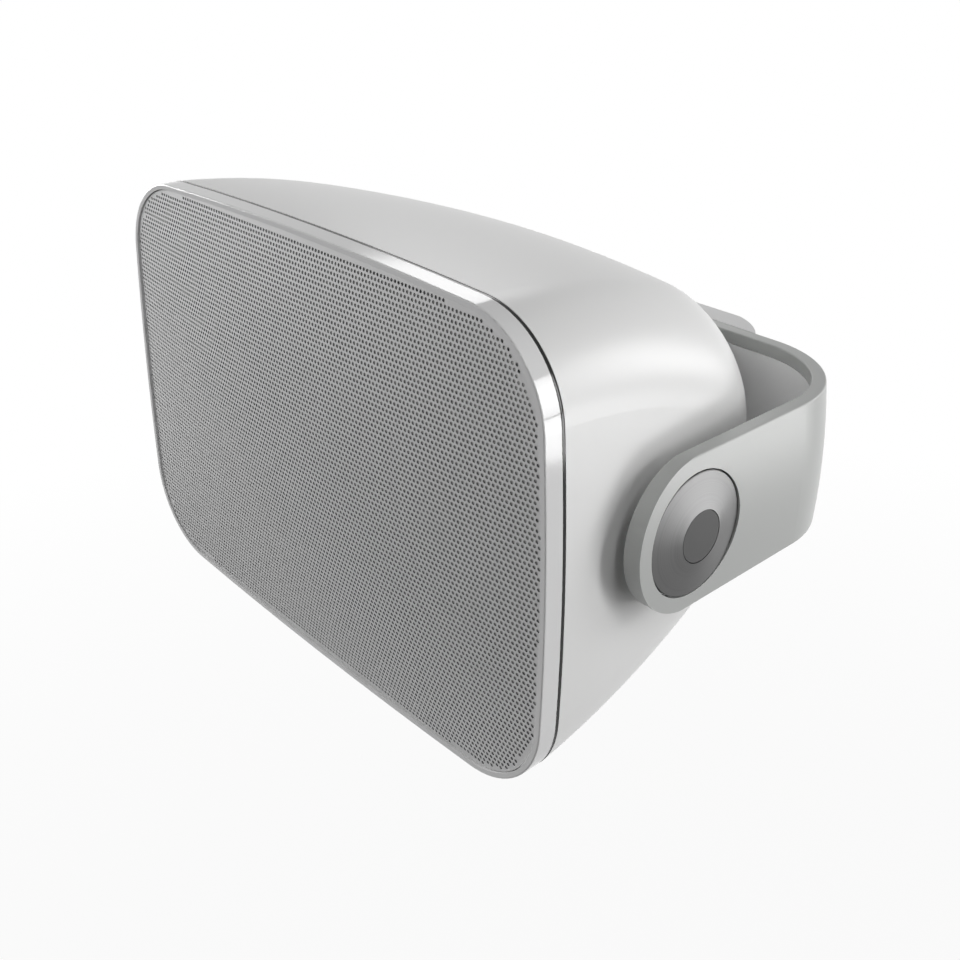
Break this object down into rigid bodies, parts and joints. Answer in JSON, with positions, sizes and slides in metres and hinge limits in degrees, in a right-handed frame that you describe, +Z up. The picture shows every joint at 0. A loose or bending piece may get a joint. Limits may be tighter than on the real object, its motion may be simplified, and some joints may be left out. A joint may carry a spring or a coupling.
{
  "type": "outdoor loudspeaker",
  "caption": "White weatherproof loudspeaker with a perforated front and rounded back, tilting in a U-shaped wall yoke on disc-capped friction pivots.",
  "frame": {"origin": "middle of the wall plate's wall face, at the height of the tilt axis", "axes": "+X along the speaker, +Y towards the wall, +Z up; the grille faces -Y"},
  "size_m": [0.2972, 0.1993, 0.191],
  "materials": {
    "cabinet_white": "satin moulded white polypropylene",
    "rim_white": "glossy white moulding",
    "grille_white": "white powder coat on perforated steel",
    "seal_black": "black rubber",
    "yoke_white": "white powder-coated aluminium casting",
    "strip_white": "white moulded cover strip",
    "plate_white": "white moulded wall plate",
    "disc_metal": "turned aluminium, circular brushed",
    "cap_metal": "dark anodised aluminium",
    "steel": "stainless steel",
    "brass": "brass",
    "bush_plastic": "black acetal",
    "washer_rubber": "dark rubber",
    "basket_metal": "black-painted casting",
    "cone_weave": "woven glass fibre",
    "cap_fibre": "grey dust cap",
    "coil_copper": "copper on a film former",
    "spider_cloth": "resin-treated cloth",
    "plated_steel": "zinc-plated steel",
    "ferrite": "ferrite",
    "radiator_plastic": "black plastic",
    "dome_aluminium": "aluminium dome",
    "black_plastic": "black plastic",
    "red_plastic": "red plastic",
    "board": "green circuit board",
    "film_yellow": "film capacitor wrap",
    "ceramic": "ceramic resistor"
  },
  "bodies": {
    "yoke_mount": {"yoke": "yoke_white", "yoke_cover_strip": "strip_white", "wall_plate": "plate_white", "yoke_screws": "steel", "pivot_bush_left": "bush_plastic", "pivot_bush_right": "bush_plastic"},
    "woofer_diaphragm": {"woofer_cone": "cone_weave", "woofer_dust_cap": "cap_fibre", "woofer_voice_coil": "coil_copper"},
    "radiator_diaphragm": {"radiator_cone": "radiator_plastic", "radiator_weight": "plated_steel"},
    "cabinet": {"cabinet_shell": "cabinet_white", "front_baffle": "rim_white", "grille": "grille_white", "cabinet_seal": "seal_black", "baffle_screws": "steel", "woofer_basket": "basket_metal", "woofer_surround": "washer_rubber", "woofer_spider": "spider_cloth", "woofer_top_plate": "plated_steel", "woofer_magnet": "ferrite", "woofer_back_plate": "plated_steel", "woofer_screws": "steel", "radiator_frame": "basket_metal", "radiator_surround": "washer_rubber", "radiator_screws": "steel", "tweeter_faceplate": "black_plastic", "tweeter_dome": "dome_aluminium", "tweeter_motor": "plated_steel", "tweeter_screws": "steel", "terminal_cup": "black_plastic", "terminal_posts": "brass", "terminal_cap_negative": "black_plastic", "terminal_cap_positive": "red_plastic", "terminal_cover": "black_plastic", "cable_gland": "seal_black", "crossover_board": "board", "crossover_chokes": "coil_copper", "crossover_capacitors": "film_yellow", "crossover_resistor": "ceramic", "pivot_insert_left": "brass", "friction_washer_left": "washer_rubber", "pivot_bolt_left": "steel", "pivot_disc_left": "disc_metal", "disc_cap_left": "cap_metal", "pivot_insert_right": "brass", "friction_washer_right": "washer_rubber", "pivot_bolt_right": "steel", "pivot_disc_right": "disc_metal", "disc_cap_right": "cap_metal"}
  },
  "joints": [
    {"name": "cabinet_tilt", "type": "hinge", "parent": "yoke_mount", "child": "cabinet", "pos_m": [0, -0.123, 0], "axis": [1, 0, 0], "range_deg": [-90, 90]},
    {"name": "woofer_travel", "type": "slide", "parent": "cabinet", "child": "woofer_diaphragm", "axis": [0, -1, 0], "range_m": [-0.003, 0.003], "stiffness_N_per_m": 900},
    {"name": "radiator_travel", "type": "slide", "parent": "cabinet", "child": "radiator_diaphragm", "axis": [0, -1, 0], "range_m": [-0.003, 0.003], "stiffness_N_per_m": 900}
  ]
}
